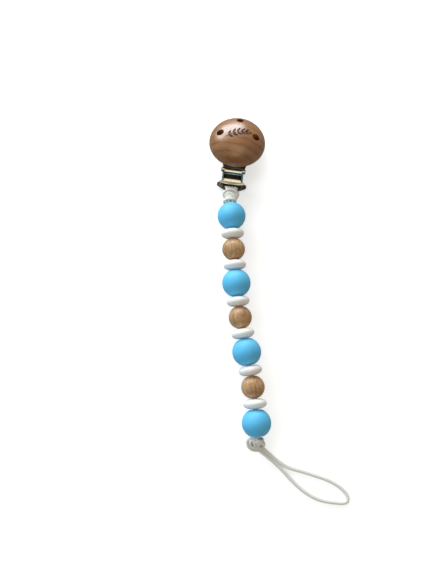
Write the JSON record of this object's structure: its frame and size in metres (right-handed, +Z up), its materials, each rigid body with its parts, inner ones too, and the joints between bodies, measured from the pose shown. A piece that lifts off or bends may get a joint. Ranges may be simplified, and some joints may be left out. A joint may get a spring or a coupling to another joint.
{
  "type": "beaded soother clip",
  "caption": "Soother clip: hinged lever clip with a turned wooden cover, a strand of silicone and wooden beads on doubled cord, and a cord loop that ties on a soother.",
  "frame": {"origin": "on the plane the clip lies on, under the middle of the box of all pieces except the free cord loop", "axes": "+Z up out of that plane, +Y along the strand from the loop end towards the clip's jaws, +X to the right seen from above"},
  "size_m": [0.0719, 0.2055, 0.0188],
  "materials": {
    "nickel_steel": "polished nickel plate on pressed steel",
    "spring_steel": "tempered spring steel strip",
    "screw_steel": "zinc plated screws",
    "insert_plastic": "milky nylon",
    "cover_beech": "turned beech, oiled, soft satin",
    "bead_wood": "turned beech, open grain, oiled",
    "blue_silicone": "matte food grade silicone",
    "white_silicone": "matte food grade silicone",
    "cord_nylon": "braided nylon cord"
  },
  "bodies": {
    "clip_base": {"base_plate": "nickel_steel", "lever_pin": "nickel_steel", "jaw_pin": "nickel_steel", "leaf_spring": "spring_steel", "spring_rivet": "nickel_steel", "jaw_insert": "insert_plastic"},
    "lever": {"lever": "nickel_steel"},
    "jaw": {"jaw_plate": "nickel_steel", "wood_cover": "cover_beech", "cover_screws": "screw_steel"},
    "link_01": {"top_hitch": "cord_nylon", "cord_core_01": "cord_nylon"},
    "link_02": {"cord_core_02": "cord_nylon"},
    "link_03": {"cord_core_03": "cord_nylon"},
    "link_04": {"cord_core_04": "cord_nylon"},
    "link_05": {"cord_core_05": "cord_nylon"},
    "link_06": {"cord_core_06": "cord_nylon"},
    "link_07": {"cord_core_07": "cord_nylon"},
    "link_08": {"cord_core_08": "cord_nylon"},
    "link_09": {"cord_core_09": "cord_nylon"},
    "link_10": {"cord_core_10": "cord_nylon"},
    "link_11": {"cord_core_11": "cord_nylon"},
    "link_12": {"cord_core_12": "cord_nylon"},
    "link_13": {"cord_core_13": "cord_nylon", "end_knot": "cord_nylon"},
    "bead_01": {"blue_bead_1": "blue_silicone"},
    "bead_02": {"white_disc_1": "white_silicone"},
    "bead_03": {"wood_bead_1": "bead_wood"},
    "bead_04": {"white_disc_2": "white_silicone"},
    "bead_05": {"blue_bead_2": "blue_silicone"},
    "bead_06": {"white_disc_3": "white_silicone"},
    "bead_07": {"wood_bead_2": "bead_wood"},
    "bead_08": {"white_disc_4": "white_silicone"},
    "bead_09": {"blue_bead_3": "blue_silicone"},
    "bead_10": {"white_disc_5": "white_silicone"},
    "bead_11": {"wood_bead_3": "bead_wood"},
    "bead_12": {"white_disc_6": "white_silicone"},
    "bead_13": {"blue_bead_4": "blue_silicone"},
    "loop": {"loop_cord": "cord_nylon"}
  },
  "joints": [
    {"name": "lever_flip", "type": "hinge", "parent": "clip_base", "child": "lever", "pos_m": [-0.00281, 0.05935, 0.0065], "axis": [-0.9903, 0.1392, 0], "range_deg": [0, 75]},
    {"name": "jaw_open", "type": "hinge", "parent": "clip_base", "child": "jaw", "pos_m": [-0.0034, 0.05519, 0.0017], "axis": [0.9903, -0.1392, 0], "range_deg": [0, 15]},
    {"name": "strand_swing", "type": "hinge", "parent": "clip_base", "child": "link_01", "pos_m": [-0.00415, 0.04984, 0.00231], "axis": [-0.9903, 0.1392, 0], "range_deg": [-45, 40]},
    {"name": "side_bend_01", "type": "hinge", "parent": "link_01", "child": "link_02", "pos_m": [-0.00356, 0.02676, 0.0075], "axis": [0, 0, 1], "range_deg": [-5, 5]},
    {"name": "lift_bend_02", "type": "hinge", "parent": "link_02", "child": "link_03", "pos_m": [-0.00325, 0.02119, 0.0075], "axis": [0.9983, 0.0586, 0], "range_deg": [-6, 6]},
    {"name": "side_bend_03", "type": "hinge", "parent": "link_03", "child": "link_04", "pos_m": [-0.00253, 0.00963, 0.0075], "axis": [0, 0, 1], "range_deg": [-5, 5]},
    {"name": "lift_bend_04", "type": "hinge", "parent": "link_04", "child": "link_05", "pos_m": [-0.00211, 0.00407, 0.0075], "axis": [0.9968, 0.0799, 0], "range_deg": [-6, 6]},
    {"name": "side_bend_05", "type": "hinge", "parent": "link_05", "child": "link_06", "pos_m": [-0.00094, -0.00976, 0.0075], "axis": [0, 0, 1], "range_deg": [-5, 5]},
    {"name": "lift_bend_06", "type": "hinge", "parent": "link_06", "child": "link_07", "pos_m": [-0.00037, -0.01531, 0.0075], "axis": [0.9926, 0.1218, 0], "range_deg": [-6, 6]},
    {"name": "side_bend_07", "type": "hinge", "parent": "link_07", "child": "link_08", "pos_m": [0.00126, -0.02678, 0.0075], "axis": [0, 0, 1], "range_deg": [-5, 5]},
    {"name": "lift_bend_08", "type": "hinge", "parent": "link_08", "child": "link_09", "pos_m": [0.00226, -0.03227, 0.0075], "axis": [0.9816, 0.191, 0], "range_deg": [-6, 6]},
    {"name": "side_bend_09", "type": "hinge", "parent": "link_09", "child": "link_10", "pos_m": [0.00506, -0.04586, 0.0075], "axis": [0, 0, 1], "range_deg": [-5, 5]},
    {"name": "lift_bend_10", "type": "hinge", "parent": "link_10", "child": "link_11", "pos_m": [0.00604, -0.05135, 0.0075], "axis": [0.9884, 0.1519, 0], "range_deg": [-6, 6]},
    {"name": "side_bend_11", "type": "hinge", "parent": "link_11", "child": "link_12", "pos_m": [0.00752, -0.06284, 0.0075], "axis": [0, 0, 1], "range_deg": [-5, 5]},
    {"name": "lift_bend_12", "type": "hinge", "parent": "link_12", "child": "link_13", "pos_m": [0.00798, -0.0684, 0.0075], "axis": [0.9974, 0.0716, 0], "range_deg": [-6, 6]},
    {"name": "bead_spin_01", "type": "hinge", "parent": "link_01", "child": "bead_01", "pos_m": [-0.00395, 0.03369, 0.0075], "axis": [0.0556, -0.9985, 0], "continuous": true},
    {"name": "bead_spin_02", "type": "hinge", "parent": "link_02", "child": "bead_02", "pos_m": [-0.00341, 0.02398, 0.0075], "axis": [0.0551, -0.9985, 0], "continuous": true},
    {"name": "bead_spin_03", "type": "hinge", "parent": "link_03", "child": "bead_03", "pos_m": [-0.00289, 0.01541, 0.0075], "axis": [0.0621, -0.9981, 0], "continuous": true},
    {"name": "bead_spin_04", "type": "hinge", "parent": "link_04", "child": "bead_04", "pos_m": [-0.00232, 0.00685, 0.0075], "axis": [0.0757, -0.9971, 0], "continuous": true},
    {"name": "bead_spin_05", "type": "hinge", "parent": "link_05", "child": "bead_05", "pos_m": [-0.00153, -0.00285, 0.0075], "axis": [0.084, -0.9965, 0], "continuous": true},
    {"name": "bead_spin_06", "type": "hinge", "parent": "link_06", "child": "bead_06", "pos_m": [-0.00066, -0.01254, 0.0075], "axis": [0.1035, -0.9946, 0], "continuous": true},
    {"name": "bead_spin_07", "type": "hinge", "parent": "link_07", "child": "bead_07", "pos_m": [0.00044, -0.02105, 0.0075], "axis": [0.14, -0.9901, 0], "continuous": true},
    {"name": "bead_spin_08", "type": "hinge", "parent": "link_08", "child": "bead_08", "pos_m": [0.00176, -0.02952, 0.0075], "axis": [0.1805, -0.9836, 0], "continuous": true},
    {"name": "bead_spin_09", "type": "hinge", "parent": "link_09", "child": "bead_09", "pos_m": [0.00366, -0.03906, 0.0075], "axis": [0.2014, -0.9795, 0], "continuous": true},
    {"name": "bead_spin_10", "type": "hinge", "parent": "link_10", "child": "bead_10", "pos_m": [0.00555, -0.04861, 0.0075], "axis": [0.1757, -0.9844, 0], "continuous": true},
    {"name": "bead_spin_11", "type": "hinge", "parent": "link_11", "child": "bead_11", "pos_m": [0.00678, -0.0571, 0.0075], "axis": [0.1279, -0.9918, 0], "continuous": true},
    {"name": "bead_spin_12", "type": "hinge", "parent": "link_12", "child": "bead_12", "pos_m": [0.00775, -0.06562, 0.0075], "axis": [0.083, -0.9966, 0], "continuous": true},
    {"name": "bead_spin_13", "type": "hinge", "parent": "link_13", "child": "bead_13", "pos_m": [0.0084, -0.07533, 0.0075], "axis": [0.0602, -0.9982, 0], "continuous": true},
    {"name": "loop_lift", "type": "hinge", "parent": "link_13", "child": "loop", "pos_m": [0.01067, -0.08847, 0.0026], "axis": [-0.817, -0.5767, 0], "range_deg": [0, 60]}
  ],
  "couplings": [
    {"joint": "jaw_open", "follows": "lever_flip", "ratio": 0.2}
  ]
}
